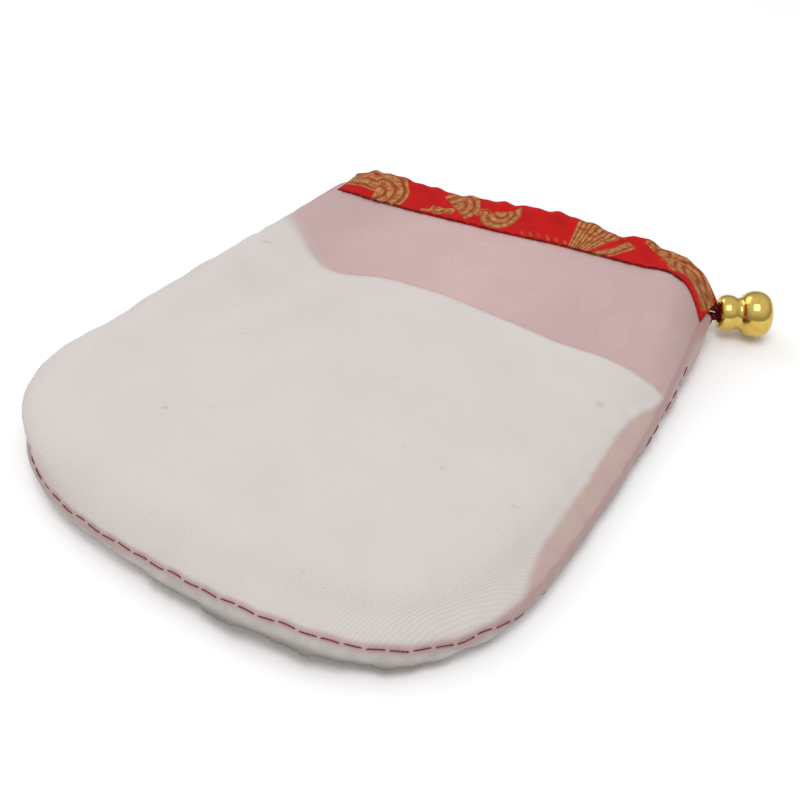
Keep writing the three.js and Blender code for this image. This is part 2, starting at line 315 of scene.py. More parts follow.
# How far the pad's edge stays away from the stitches
PAD_GAP = (
    (-1, 0.5), (0.36, 0.3), (0.42, 0.4), (0.45, 1.2), (0.485, 2.0), (0.54, 2.3), (0.6, 2.5),
    (0.67, 2.9), (0.73, 2.8), (0.76, 1.9), (0.78, 0.9), (0.8, 0.6), (1, 0.6),
)
# Upper lining where the casing's low edge lies, and the casing's top, across the mouth
CASING_LOW = (
    (-39.4, 6.35), (-36, 6.6), (-30, 6.9), (-22, 7.7), (-11, 9.0), (0, 10.2), (10, 11.6),
    (20, 12.7), (27, 13.4), (33, 14.2), (35.9, 12.7), (37.6, 10.3), (39.4, 6.35),
)
CASING_TOP = (
    (-39.4, 7.7), (-35, 9.2), (-26, 9.9), (-15, 10.4), (-9, 11.4), (-4, 12.2), (3, 13.4),
    (10, 14.2), (15, 14.0), (20, 13.6), (26, 14.8), (29.5, 13.9), (34, 13.6), (36.5, 12.2),
    (38.2, 9.6), (39.4, 7.7),
)
# The pad's upper edge: (x, y)
PAD_EDGE = (
    (-40, 31.6), (-36, 28.4), (-31, 24.8), (-26, 21.9), (-20, 21.1), (-10, 22.4), (0, 23.5),
    (10, 23.6), (20, 23.6), (30, 24.1), (36, 24.3), (41, 24.6),
)
# A soft valley in the padded face, from its upper left part down to the left edge.
VALLEY = ((-23.0, 24.0), (-22.5, 10.0), (-25.0, 0.0), (-31.0, -11.0), (-41.0, -20.0))
# How far the padded face swells out over the seam, and how far inside the seam it does so most
BULGE = (
    (-1, 0.5), (-0.6, 0.5), (-0.5, 0.9), (-0.44, 2.0), (-0.38, 3.1), (-0.33, 3.1), (-0.27, 2.0),
    (-0.2, 0.6), (-0.12, 0), (1, 0),
)
BULGE_PEAK = 2.5
CRUMPLE = 0.15                               # how unevenly the strip beside the pad swells
DIP = 1.7                                    # how far the face sinks where the pad ends


def spread(x, y):
    """Half the thickness of the sewn edge; wider where the casing opens for the cord."""
    return mix(SEAM_SPREAD, MOUTH_SPREAD, ease(y, 37, 46)) + 0 * x


def rolled(gap, radius, tightness=0.8):
    share = np.clip(gap / radius, 0, 1)
    return (1 - (1 - share) ** 2.2) ** tightness


def half_width(y):
    share = np.clip((MOUTH_Y - y) / (MOUTH_Y - ROUND_Y), 0, 1)
    return mix(MOUTH_HALF, BELLY, share * (2 - share))


def distance_to_path(x, y, path):
    """Distance to a line through a few points, and how far along it the nearest place is."""
    best = np.full(x.shape, 1e9)
    along = np.zeros(x.shape)
    for k, (a, b) in enumerate(zip(path[:-1], path[1:])):
        ax, ay, bx, by = *a, *b
        length = (bx - ax) ** 2 + (by - ay) ** 2
        t = np.clip(((x - ax) * (bx - ax) + (y - ay) * (by - ay)) / length, 0, 1)
        gap = np.hypot(x - mix(ax, bx, t), y - mix(ay, by, t))
        closer = gap < best
        best = np.where(closer, gap, best)
        along = np.where(closer, (k + t) / (len(path) - 1), along)
    return best, along


def pad_inside(x, y, gap, t):
    """How far inside the pad's outline a plan point lies, negative outside it."""
    return np.minimum(gap - through(PAD_GAP, t), through(PAD_EDGE, x) - y)


def puckers(t, gap, side):
    """Small pleats that the stitching draws into the cloth next to the seam."""
    arc = t * OUTLINE.length
    fine = np.sin(TAU * arc / 6.3 + 1.5 * np.sin(arc / 9) + side)
    coarse = np.sin(TAU * arc / 14.0 + np.sin(arc / 17) * 2 + 2 * side)
    inside = np.clip(gap, 0, None)
    near = np.exp(-inside / 3)
    return 0.16 * fine * near + 0.3 * coarse * (1 - near) * np.exp(-inside / 9)


def upper_height():
    """Height of the upper lining's outer face inside the stitch line."""
    (x, y), gap, t = PLAN.points.T, PLAN.gap, PLAN.where
    edge = through(SEAM_HEIGHT, t) + spread(x, y)
    inside = pad_inside(x, y, gap, t)
    crown = BODY_TOP + 0.4 * ripples(x, y, 60) - DIP * ease(y, -12, 24)
    away, along = distance_to_path(x, y, VALLEY)
    crown = crown - (2.0 - 0.9 * along) * np.exp(-(away / 7.5) ** 2) * ease(gap, 0, 8)
    crown = crown + 1.2 * bump_at(x, y, (-37, 4), (6, 26)) + 1.6 * bump_at(x, y, (-40, -26), (9, 14))
    crown = crown + 0.55 * (ease(inside, -1.0, 0.8) - 1) * ease(gap, 0, 6)
    body = mix(edge, crown, rolled(gap, through(ROLL_RADIUS, t)))
    across = np.clip(x / half_width(y), -1, 1) * CASING_HALF
    low, top = through(CASING_LOW, across), through(CASING_TOP, across) - TURN_DROP
    mouth = mix(low, top, np.clip((y - CASING_EDGE) / (FOLD_Y - CASING_EDGE), 0, 1))
    face = mix(body, mouth, ease(y, *MOUTH_ROLL))
    for a, b in STRIP_FOLDS:
        away, _ = distance_to_path(x, y, (a, b))
        face = face + 0.5 * np.exp(-(away / 0.75) ** 2) - 0.25 * np.exp(-(away / 1.9) ** 2)
    waves = 0.13 * ripples(x, y, 16) + 0.05 * ripples(x, y + 40, 6)
    return face + (waves * ease(gap, 0, 6) + puckers(t, gap, 1)) * (1 - ease(y, 20, 44))


def lower_height():
    """Height of the lower lining: flat on the table, rolled up steeply to the seam."""
    (x, y), gap, t = PLAN.points.T, PLAN.gap, PLAN.where
    edge = through(SEAM_HEIGHT, t) - spread(x, y)
    floor = LOWER_MOUTH_Z * ease(y, 34, 46)
    face = mix(edge, floor, rolled(gap, LOWER_ROLL, 0.9))
    return np.maximum(face + puckers(t, gap, 2) * ease(gap, 0, 2), floor)


UPPER, LOWER = 1, -1


def normals_of(points, quads):
    corners = [points[quads[:, k]] for k in range(4)]
    normal = np.cross(corners[2] - corners[0], corners[3] - corners[1])
    total = np.zeros_like(points)
    for k in range(4):
        np.add.at(total, quads[:, k], normal)
    return total / np.maximum(np.linalg.norm(total, axis=1, keepdims=True), 1e-9)


def place_faces():
    """Outer faces of both linings in space, and the way out of the cloth at each point."""
    way = np.zeros((len(PLAN.points), 3))
    way[:, 2] = 1
    x, y = PLAN.points.T
    outward = OUTLINE.outward(PLAN.where)
    faces = {}
    for side, height in ((UPPER, upper_height()), (LOWER, lower_height())):
        faces[side] = np.column_stack([x, y, height])
    arc = PLAN.where * OUTLINE.length
    in_strip = ease(PLAN.where, 0.4, 0.48) * (1 - ease(PLAN.where, 0.74, 0.82))
    bulge = through(BULGE, PLAN.where) + CRUMPLE * in_strip * ripples(arc, PLAN.gap, 3.6)
    reach = np.clip(PLAN.gap, 0, None) / BULGE_PEAK
    faces[UPPER][:, :2] += outward * (bulge * (reach * np.exp(1 - reach)) ** 2)[:, None]
    chain = PLAN.ring[0]
    t = PLAN.where[chain]
    arc = t * OUTLINE.length
    wave = 16 * ripples(arc, 0 * arc + 9, 8.5) + 7 * ripples(arc, 0 * arc + 31, 3.4)
    droop = np.radians(through(SEAM_DROOP, t) + wave)
    middle = np.column_stack([x[chain], y[chain], through(SEAM_HEIGHT, t)])
    half = spread(x[chain], y[chain])[:, None]
    step = PLAN.allowance(t) / RING_STEPS
    side_way = OUTLINE.outward(t)
    for k, ring in enumerate(PLAN.ring[1:], 1):
        angle = droop * min(0.45 + 0.35 * k, 1)
        move = np.column_stack([side_way * np.cos(angle)[:, None], -np.sin(angle)])
        middle = middle + move * step[:, None]
        normal = np.column_stack([side_way * np.sin(angle)[:, None], np.cos(angle)])
        way[ring] = normal
        for side in (UPPER, LOWER):
            faces[side][ring] = middle + side * normal * half
    for side in (UPPER, LOWER):
        faces[side][:, 2] = np.maximum(faces[side][:, 2], 0.0)
    leaning = ease(bulge, 0, 0.6) * ease(PLAN.gap, 0, 0.8) * (1 - ease(PLAN.gap, 9, 16))
    leaning = leaning[:, None]
    upper_way = mix(way, normals_of(faces[UPPER], PLAN.quads), leaning)
    upper_way /= np.linalg.norm(upper_way, axis=1, keepdims=True)
    return faces, {UPPER: upper_way, LOWER: way}


FACE, WAY = place_faces()
PAD_INSIDE = pad_inside(*PLAN.points.T, PLAN.gap, PLAN.where)
PAD_DEPTH = ease(PAD_INSIDE, -0.5, 5)


def layer(side, depth):
    """Points of the plan that lie depth under a panel's outer face."""
    depth = np.broadcast_to(depth, len(PLAN.points))
    return FACE[side] - side * depth[:, None] * WAY[side]


# ---------------------------------------------------------------- meshes

def make_mesh(name, points, faces, material, attributes=None):
    mesh = bpy.data.meshes.new(name)
    mesh.from_pydata((np.asarray(points) * MM).tolist(), [], np.asarray(faces).tolist())
    mesh.validate()
    for key, values in (attributes or {}).items():
        values = np.asarray(values, np.float32)
        kind, field = ("FLOAT_VECTOR", "vector") if values.ndim == 2 else ("FLOAT", "value")
        made = mesh.attributes.new(key, kind, "POINT")
        made.data.foreach_set(field, values.ravel())
    mesh.materials.append(material)
    mesh.polygons.foreach_set("use_smooth", [True] * len(mesh.polygons))
    piece = bpy.data.objects.new(name, mesh)
    bpy.context.scene.collection.objects.link(piece)
    return piece


def closed_sheet(side_a, side_b, quads):
    """Points, faces and the numbers of the plan points of a sheet closed along its edges."""
    count = len(side_a)
    edges = np.concatenate([quads[:, [k, (k + 1) % 4]] for k in range(4)])
    forward = edges[:, 0] * count + edges[:, 1]
    backward = edges[:, 1] * count + edges[:, 0]
    rim = edges[~np.isin(forward, backward)]
    walls = np.column_stack([rim[:, 1], rim[:, 0], rim[:, 0] + count, rim[:, 1] + count])
    faces = np.concatenate([quads, quads[:, ::-1] + count, walls])
    points = np.concatenate([side_a, side_b])
    used, renumbered = np.unique(faces, return_inverse=True)
    return points[used], renumbered.reshape(faces.shape), used % count


def facing(side, quads):
    return quads if side == UPPER else quads[:, ::-1]


# ---------------------------------------------------------------- materials

class Wire:
    """A socket of a material. A sum written with it adds its Math nodes."""

    def __init__(self, paint, socket):
        self.paint, self.socket = paint, socket

    def math(self, operation, *others):
        inputs = dict(enumerate((self, *others)))
        return self.paint.node("ShaderNodeMath", {"operation": operation}, inputs)

    def __add__(self, other):
        return self.math("ADD", other)

    def __radd__(self, other):
        return self.math("ADD", other)

    def __mul__(self, other):
        return self.math("MULTIPLY", other)

    def __rmul__(self, other):
        return self.math("MULTIPLY", other)

    def __sub__(self, other):
        return self.math("SUBTRACT", other)

    def __rsub__(self, other):
        return (self * -1) + other

    def __truediv__(self, other):
        return self.math("DIVIDE", other)

    def __neg__(self):
        return self * -1

    def __abs__(self):
        return self.math("ABSOLUTE")

    def sin(self):
        return self.math("SINE")

    def floor(self):
        return self.math("FLOOR")

    def root(self):
        return self.math("SQRT")

    def fraction(self):
        return self.math("FRACT")

    def most(self, other):
        return self.math("MAXIMUM", other)


    def ease(self, low, high):
        settings = {"interpolation_type": "SMOOTHSTEP"}
        return self.paint.node("ShaderNodeMapRange", settings, {0: self, 1: low, 2: high})


class Paint:
    """A node material built from plain calls."""

    def __init__(self, name, **constants):
        self.material = bpy.data.materials.new(name)
        self.material.use_nodes = True
        self.tree = self.material.node_tree
        self.shader = self.tree.nodes["Principled BSDF"]
        for key, value in constants.items():
            self.shader.inputs[key.replace("_", " ")].default_value = value

    def node(self, kind, settings=None, inputs=None, output=0):
        node = self.tree.nodes.new(kind)
        for key, value in (settings or {}).items():
            setattr(node, key, value)
        for key, value in (inputs or {}).items():
            if isinstance(value, Wire):
                self.tree.links.new(value.socket, node.inputs[key])
            else:
                node.inputs[key].default_value = value
        return Wire(self, node.outputs[output])

    def feed(self, **sockets):
        for key, wire in sockets.items():
            self.tree.links.new(wire.socket, self.shader.inputs[key.replace("_", " ")])

    def cloth(self):
        """Places on the flat cloth in millimetres, as two values and a vector."""
        vector = self.node("ShaderNodeAttribute", {"attribute_name": "cloth"}, output="Vector")
        apart = vector.socket
        node = self.tree.nodes.new("ShaderNodeSeparateXYZ")
        self.tree.links.new(apart, node.inputs[0])
        return Wire(self, node.outputs[0]), Wire(self, node.outputs[1]), vector

    def field(self, name):
        return self.node("ShaderNodeAttribute", {"attribute_name": name}, output="Fac")

    def noise(self, vector, scale, detail=3.0, roughness=0.5):
        inputs = {"Vector": vector, "Scale": scale, "Detail": detail, "Roughness": roughness}
        return self.node("ShaderNodeTexNoise", None, inputs)

    def mix(self, share, a, b):
        inputs = {0: share, 6: colour(a), 7: colour(b)}
        return self.node("ShaderNodeMix", {"data_type": "RGBA"}, inputs, output=2)

    def bump(self, height, distance, strength=1.0, normal=None):
        inputs = {"Height": height, "Distance": distance * MM, "Strength": strength}
        if normal is not None:
            inputs["Normal"] = normal
        return self.node("ShaderNodeBump", None, inputs)


def colour(value):
    """An sRGB triple of 0 to 255 as the linear colour that a socket takes."""
    if isinstance(value, Wire):
        return value
    share = [part / 255 for part in value]
    linear = [v / 12.92 if v <= 0.04045 else ((v + 0.055) / 1.055) ** 2.4 for v in share]
    return (*linear, 1.0)


# Woven figures of the brocade in the cloth's own millimetres: x along the mouth and v up
# from the casing's low edge. Rows of them repeat down the panel, each moved along.
ROW_HEIGHT = 13.0
ROW_SHIFT = 29.0
CLOTH_WIDTH = 77.0
# (x, v, radius, rings, direction in degrees of the side that is cut away, where it is cut)
SCROLLS = (
    (-29.4, 2.6, 6.4, 3.4, 195, 0.5), (-12.2, 4.6, 4.3, 2.6, 235, 0.7),
    (-15.4, 2.8, 1.7, 1.4, 80, 0.4), (-3.2, 5.0, 4.0, 2.9, 120, 0.3), (-6.5, 4.1, 1.4, 1.2, 300, 0.4),
    (28.6, 6.4, 3.7, 2.4, 250, 0.7), (34.6, 4.6, 4.4, 2.8, 300, 1.2),
)
# Bars and cloud banks: (x, v) at both ends, half width at both ends
BANDS = (
    (-18.6, 1.3, -12.2, 3.2, 0.25, 1.0), (17.6, -0.2, 23.0, 5.6, 1.1, 1.4),
    (-40.0, 6.4, -29.0, 5.8, 3.4, 3.0), (29.5, 6.6, 38.5, 4.5, 2.6, 2.6),
)
FAN_APEX = (13.2, -5.5)
FAN_RADIUS = 14.2
FAN_HALF_ANGLE = 0.32
FAN_LEAN = 0.2
FAN_RIBS = 8
# Scrolls that show faintly through the lining where there is no wadding, on the plan
SEEN_THROUGH = (
    (-0.3, 35.5, 6.0, 2.4, 90, 9), (22.0, 35.7, 4.0, 2.0, 200, 1.5), (30.0, 30.8, 3.6, 2.0, 20, 1.5),
    (35.5, 34.5, 3.4, 2.0, 90, 1.5), (-22.0, 33.0, 5.0, 2.2, 330, 2.0), (12.0, 29.5, 3.0, 1.6, 150, 1.5),
    (42.6, 8.0, 3.4, 2.0, 20, 3.0), (42.6, -12.0, 3.4, 2.0, 200, 3.0),
)


def length_of(dx, dy):
    return (dx * dx + dy * dy).root()


def scroll(x, y, centre_x, centre_y, radius, rings, cut, reach):
    """A disc of rings with one side cut away: its shape, and the lines inside it."""
    dx, dy = x - centre_x, y - centre_y
    away = length_of(dx, dy)
    inside = 1 - away.ease(radius - 0.14, radius + 0.14)
    way = math.radians(cut)
    side = dx * math.cos(way) + dy * math.sin(way)
    inside = inside * (1 - side.ease(reach - 0.14, reach + 0.14))
    ring = 1 - (away * (TAU * rings / radius) - 0.9).sin().ease(-0.75, 0.1)
    return inside, inside * ring


def band(x, y, ax, ay, bx, by, start_half, end_half):
    length = math.hypot(bx - ax, by - ay)
    ux, uy = (bx - ax) / length, (by - ay) / length
    dx, dy = x - ax, y - ay
    along = (dx * ux + dy * uy) / length
    aside = dx * -uy + dy * ux
    half = along * (end_half - start_half) + start_half
    inside = 1 - (abs(aside) - half).ease(-0.14, 0.14)
    inside = inside * along.ease(-0.02, 0.02) * (1 - along.ease(0.98, 1.02))
    line = 1 - (aside * 3.4 + 0.6).sin().ease(-0.8, -0.2)
    return inside, inside * line


def fan(x, y):
    dy = y - FAN_APEX[1]
    dx = x - FAN_APEX[0] - dy * FAN_LEAN
    angle = dx / dy.most(0.2)
    inside = 1 - abs(angle).ease(FAN_HALF_ANGLE - 0.012, FAN_HALF_ANGLE + 0.012)
    away = length_of(dx, dy)
    inside = inside * (1 - away.ease(FAN_RADIUS - 0.14, FAN_RADIUS + 0.14)) * away.ease(6.2, 6.5)
    rib = 1 - (angle * (TAU * FAN_RIBS / 2 / FAN_HALF_ANGLE)).sin().ease(-0.7, 0.0)
    return inside, inside * rib


def brocade_figures(x, y):
    """1 on the figures and 0 on the ground, and the dark lines inside the figures."""
    row = (y / ROW_HEIGHT).floor()
    y = y - row * ROW_HEIGHT
    turns = (x + row * ROW_SHIFT) / CLOTH_WIDTH + 0.5
    x = (turns.fraction() - 0.5) * CLOTH_WIDTH
    gold, lines = fan(x, y)
    for shape in [band(x, y, *stops) for stops in BANDS] + [scroll(x, y, *s) for s in SCROLLS]:
        gold = gold.most(shape[0])
        lines = (lines * (1 - shape[0])).most(shape[1])
    dash = (x * 3.6 + y * 2.6).sin().ease(0.2, 0.8) * (1 - abs(y - 1.5).ease(0.4, 0.7))
    dash = dash * x.ease(2.4, 3.0) * (1 - x.ease(13.0, 13.6))
    return gold.most(dash * 0.5), lines.most(dash * 0.5)


def satin_lining():
    paint = Paint("satin_lining", Specular_IOR_Level=0.3)
    x, y, flat = paint.cloth()
    inside = paint.field("pad")
    soft = 1 - (x + 6).ease(-26, -8)
    bare = 1 - (inside / (soft * 2.2 + 0.5)).ease(-1, 1)
    out = 1 - paint.field("gap").ease(-0.7, 0.3)
    mottled = paint.noise(flat, 0.06, 2)
    fine = paint.noise(flat, 0.45, 3)
    white = paint.mix(mottled.ease(0.3, 0.7), (207, 199, 195), (203, 196, 192))
    gold = lines = None
    for stops in SEEN_THROUGH:
        shape = scroll(x, y, *stops)
        gold = shape[0] if gold is None else gold.most(shape[0])
        lines = shape[1] if lines is None else lines.most(shape[1])
    rose = paint.mix(mottled.ease(0.35, 0.65), (193, 163, 161), (198, 169, 166))
    rose = paint.mix(abs(x + 3).ease(8, 28) * 0.8, rose, (183, 155, 154))
    rose = paint.mix(gold * 0.17 * fine.ease(0.2, 0.6), rose, (202, 179, 170))
    rose = paint.mix(lines * 0.12, rose, (183, 154, 150))
    strip = x.ease(37, 39) * (1 - y.ease(18, 27)) * paint.noise(flat, 0.16, 2).ease(0.42, 0.62)
    rose = paint.mix(strip * 0.55, rose, (186, 168, 150))
    base = paint.mix(bare, white, rose)
    # Seam allowance outside the stitches: painted shade makes it greyer than the face and darker still
    # towards its outer edge; on the upper right it turns pink where the brocade shows through.
    shaded_allowance = paint.mix(fine.ease(0.35, 0.65), (186, 181, 177), (176, 170, 165))
    shaded_allowance = paint.mix(paint.field("gap").ease(-2.1, -0.9), (134, 128, 121), shaded_allowance)
    shaded_allowance = paint.mix(x.ease(30, 34) * y.ease(14, 24), shaded_allowance, (184, 160, 157))
    base = paint.mix(out, base, shaded_allowance)
    # Along the stitch line: painted shade of the seam's groove, mixed with the pink of the brocade
    # showing through where the layers are pressed together.
    seam_shade_and_show_through = 1 - abs(paint.field("gap")).ease(0.1, 0.5)
    base = paint.mix(seam_shade_and_show_through * 0.45, base, (160, 112, 112))
    speck = paint.noise(flat, 0.24, 1).ease(0.735, 0.80) * (1 - bare)
    base = paint.mix(speck * 0.26, base, (150, 130, 110))
    warp = (x * (TAU / 0.48) + y * (TAU / 1.3)).sin()
    weft = (y * (TAU / 0.5) + fine * 1.6).sin()
    weave = warp * weft
    # The weave's darker lines show more strongly towards the bottom of the panel.
    weave_strength = (-y).ease(12, 44) * 0.14 + 0.14
    base = paint.mix(weave.ease(-0.9, 1) * weave_strength, base, (166, 158, 154))
    height = weave * 0.5 + fine * 0.7
    paint.feed(Base_Color=base, Normal=paint.bump(height, 0.07, 0.6))
    paint.feed(Roughness=mottled * 0.12 + 0.40)
    return paint.material


def red_brocade():
    paint = Paint("red_brocade", Specular_IOR_Level=0.12)
    x, y, flat = paint.cloth()
    gold, lines = brocade_figures(x, y)
    fine = paint.noise(flat, 1.1, 3)
    ground = paint.mix(paint.noise(flat, 0.25, 2).ease(0.3, 0.7), (200, 14, 13), (184, 10, 11))
    thread = paint.mix(fine.ease(0.35, 0.65), (158, 92, 48), (196, 142, 84))
    dark = paint.mix(fine.ease(0.35, 0.65), (140, 58, 30), (166, 80, 40))
    base = paint.mix(gold, ground, paint.mix(lines, thread, dark))
    rib = (y * (TAU / 0.32)).sin()
    twill = (x * (TAU / 0.42) + y * (TAU / 0.84)).sin()
    base = paint.mix((rib * twill).ease(-1, 1) * 0.22, base, (96, 10, 8))
    height = rib * 0.3 + twill * 0.25 + gold * 0.8 - lines * 0.4
    paint.feed(Base_Color=base, Normal=paint.bump(height, 0.09, 0.8))
    paint.feed(Roughness=0.55 - gold * 0.12, Metallic=gold * (1 - lines) * 0.2)
    return paint.material


def cotton_wadding():
    paint = Paint("cotton_wadding", Roughness=0.95)
    where = paint.node("ShaderNodeTexCoord", output="Object")
    fibre = paint.noise(where, 900, 5, 0.7)
    paint.feed(Base_Color=paint.mix(fibre, (232, 230, 224), (246, 245, 240)))
    paint.feed(Normal=paint.bump(fibre, 0.25, 0.8))
    return paint.material


def twisted_thread(name, dark, light, pitch):
    paint = Paint(name, Roughness=0.7, Specular_IOR_Level=0.2)
    where = paint.node("ShaderNodeTexCoord", output="Object")
    apart = paint.tree.nodes.new("ShaderNodeSeparateXYZ")
    paint.tree.links.new(where.socket, apart.inputs[0])
    x, y, z = (Wire(paint, socket) for socket in apart.outputs)
    ply = ((x + y * 0.8 + z * 1.2) * (TAU / (pitch * MM))).sin()
    paint.feed(Base_Color=paint.mix(ply.ease(-0.8, 0.6), dark, light))
    paint.feed(Normal=paint.bump(ply, 0.05, 0.8))
    return paint.material


def polished_brass():
    paint = Paint("polished_brass", Metallic=1.0)
    where = paint.node("ShaderNodeTexCoord", output="Object")
    wear = paint.noise(where, 420, 4, 0.6)
    paint.feed(Base_Color=paint.mix(wear.ease(0.3, 0.75), (226, 196, 106), (206, 172, 84)))
    paint.feed(Roughness=wear * 0.10 + 0.10, Normal=paint.bump(wear, 0.02, 0.25))
    return paint.material


SATIN = satin_lining()
BROCADE_CLOTH = red_brocade()
COTTON = cotton_wadding()
SEAM_THREAD = twisted_thread("seam_thread", (84, 30, 36), (138, 66, 74), 0.5)
CASING_THREAD = twisted_thread("casing_thread", (84, 6, 10), (140, 20, 24), 0.5)
RED_CORD = twisted_thread("red_cord", (58, 4, 10), (120, 16, 24), 1.1)
BRASS = polished_brass()


# ---------------------------------------------------------------- the cloth pieces


def gathers(piece, node):
    """Hide the CAD part that the cloth piece stands for, and bake the piece's transform."""
    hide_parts(node)
    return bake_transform(piece)


def plan_fields(numbers):
    points = PLAN.points[numbers]
    inside = PAD_INSIDE[numbers]
    cloth = np.column_stack([points, np.zeros(len(points))])
    return {"cloth": cloth, "pad": inside, "gap": PLAN.gap[numbers]}


def sew_lining(side, name):
    points, faces, numbers = closed_sheet(
        layer(side, 0), layer(side, LINING), facing(side, PLAN.quads))
    piece = make_mesh(name + "_cloth", points, faces, SATIN, plan_fields(numbers))
    gathers(piece, name)
    return piece


def fill_wadding(side, name):
    inside = PAD_INSIDE > 0.1
    quads = PLAN.quads[inside[PLAN.quads].all(1)]
    thickness = 0.4 + (WADDING - 0.4) * PAD_DEPTH
    top = layer(side, LINING + LAYER_GAP)
    bottom = layer(side, LINING + LAYER_GAP + thickness)
    points, faces, _ = closed_sheet(top, bottom, facing(side, quads))
    piece = make_mesh(name + "_fill", points, faces, COTTON)
    gathers(piece, name)
    return piece


def gathers_at(x, share):
    """Small waves that the drawn cord leaves in the casing, strongest at the fold."""
    wave = 0.18 * np.sin(TAU * x / 6.9 + 1.3 * np.sin(x / 6.5)) + 0.13 * np.sin(TAU * x / 3.7 + 2)
    return wave * (0.25 + 0.75 * share) * ease(MOUTH_HALF - np.abs(x), 0, 5)


def fold_line(side):
    """The middle of the casing's fold, from the left end of the mouth to the right."""
    row = PLAN.mouth_row
    x = PLAN.points[row, 0]
    z = FACE[side][row, 2] - side * LINING / 2
    if side == UPPER:
        z = through(CASING_TOP, x / MOUTH_HALF * CASING_HALF) - TURN_DROP
    return np.column_stack([x, np.full(len(x), FOLD_Y), z])


def fold_radius(x):
    return mix(1.08, FOLD_RADIUS, ease(MOUTH_HALF - np.abs(x), 0, 9))


def casing_ends(x):
    """How far the turned casing's ends lie from those of the panel under it."""
    return 1.2 * ease(-x, 30, MOUTH_HALF) + 0.9 * ease(x, 34, MOUTH_HALF)


def turn_casing(side, name):
    """The brocade: under the wadding, past the lining's edge, round the cord and back."""
    depth = LINING + LAYER_GAP + (WADDING + LAYER_GAP) * PAD_DEPTH
    outer, inner = [layer(side, depth)], [layer(side, depth + BROCADE)]
    x = PLAN.points[PLAN.mouth_row, 0]
    fold = fold_line(side)
    rows, travels = [PLAN.mouth_row], []
    count = len(PLAN.points)
    casing = FOLD_Y - CASING_EDGE

    def add_row(under, over, travel):
        nonlocal count
        outer.append(under)
        inner.append(over)
        travels.append(np.column_stack([x, np.full(len(x), travel), 0 * x]))
        rows.append(np.arange(count, count + len(x)))
        count += len(x)

    upright = side == UPPER
    for k in range(FOLD_STEPS + 1):
        angle = math.radians(mix(-FOLD_OPEN, FOLD_OPEN, k / FOLD_STEPS))
        sway = gathers_at(x, 1) * upright * (0.5 + 0.5 * math.sin(angle))
        radius = fold_radius(x) + 0.35 * sway
        pair = []
        for way in (-1, 1):
            reach = radius + way * BROCADE / 2
            y = FOLD_Y + math.cos(angle) * reach
            z = fold[:, 2] + side * math.sin(angle) * reach + 0.65 * sway
            pair.append(np.column_stack([x + casing_ends(x) * ease(k, 0, FOLD_STEPS / 2), y, z]))
        add_row(*pair, casing + (math.radians(FOLD_OPEN) - angle) * FOLD_RADIUS)
    band = [row for row in PLAN.index[::-1] if PLAN.points[row, 1].mean() > CASING_EDGE]
    for k, row in enumerate(band):
        share = 1 - (k + 1) / len(band)
        face = FACE[side][row].copy()
        lift = 0.06 + 0.75 * share ** 1.6 + (gathers_at(x, share) * share + 0.04) * upright
        face[:, 0] += casing_ends(x) * mix(1, share, x > 0)
        under, over = face.copy(), face.copy()
        under[:, 2] += side * lift
        over[:, 2] += side * (lift + BROCADE)
        add_row(under, over, (face[:, 1].mean() - CASING_EDGE) * 1.1)
    strip = Plan.cells(np.array(rows))
    quads = np.concatenate([PLAN.quads, strip])
    panel = np.column_stack([PLAN.points[:, 0], CLOTH_TURN - PLAN.points[:, 1], 0 * PLAN.gap])
    cloth = np.concatenate([panel, *travels])
    points, faces, numbers = closed_sheet(
        np.concatenate(outer), np.concatenate(inner), facing(side, quads))
    piece = make_mesh(name + "_cloth", points, faces, BROCADE_CLOTH, {"cloth": cloth[numbers]})
    gathers(piece, name)
    return piece


for side, word in ((UPPER, "upper"), (LOWER, "lower")):
    sew_lining(side, f"{word}_lining")
    fill_wadding(side, f"{word}_wadding")
    turn_casing(side, f"{word}_brocade")


# ---------------------------------------------------------------- threads and cord

def tube_mesh(path, radius, sides=8):
    """Points and faces of a round tube along a path, with closed ends."""
    path = np.asarray(path, float)
    radius = np.broadcast_to(radius, len(path))
    along = np.gradient(path, axis=0)
    along /= np.linalg.norm(along, axis=1, keepdims=True)
    up = np.array([0.0, 0.0, 1.0])
    across = np.cross(along, up)
    across /= np.maximum(np.linalg.norm(across, axis=1, keepdims=True), 1e-6)
    over = np.cross(across, along)
    angle = np.linspace(0, TAU, sides, endpoint=False)
    ring = across[:, None] * np.cos(angle)[None, :, None] + over[:, None] * np.sin(angle)[None, :, None]
    points = path[:, None] + ring * radius[:, None, None]
    index = np.arange(len(path) * sides).reshape(len(path), sides)
    wrapped = np.column_stack([index, index[:, 0]])
    faces = Plan.cells(wrapped)[:, ::-1].tolist()
    faces.append(index[0].tolist())
    faces.append(index[-1, ::-1].tolist())
    return points.reshape(-1, 3), faces


def join_parts(name, parts, material):
    """One mesh from several (points, faces) parts."""
    points, faces, count = [], [], 0
    for part_points, part_faces in parts:
        points.extend(np.asarray(part_points).tolist())
        faces.extend([[index + count for index in face] for face in part_faces])
        count += len(part_points)
    mesh = bpy.data.meshes.new(name)
    mesh.from_pydata((np.array(points) * MM).tolist(), [], faces)
    mesh.materials.append(material)
    mesh.polygons.foreach_set("use_smooth", [True] * len(mesh.polygons))
    piece = bpy.data.objects.new(name, mesh)
    bpy.context.scene.collection.objects.link(piece)
    return piece


STITCH = 3.1
STITCH_GAP = 0.2                              # share of a stitch that is inside the cloth
THREAD = 0.1
SEWN_SHARE = 0.91                             # of the stitch line, the rest is the casing's opening
STEPS_A_STITCH = 9


def on_ring(number, side, t):
    """Places on the seam's allowance, number rings out from the stitch line."""
    ring = PLAN.ring[number]
    points = FACE[side][ring]
    return np.column_stack([np.interp(t, PLAN.where[ring], points[:, k]) for k in range(3)])


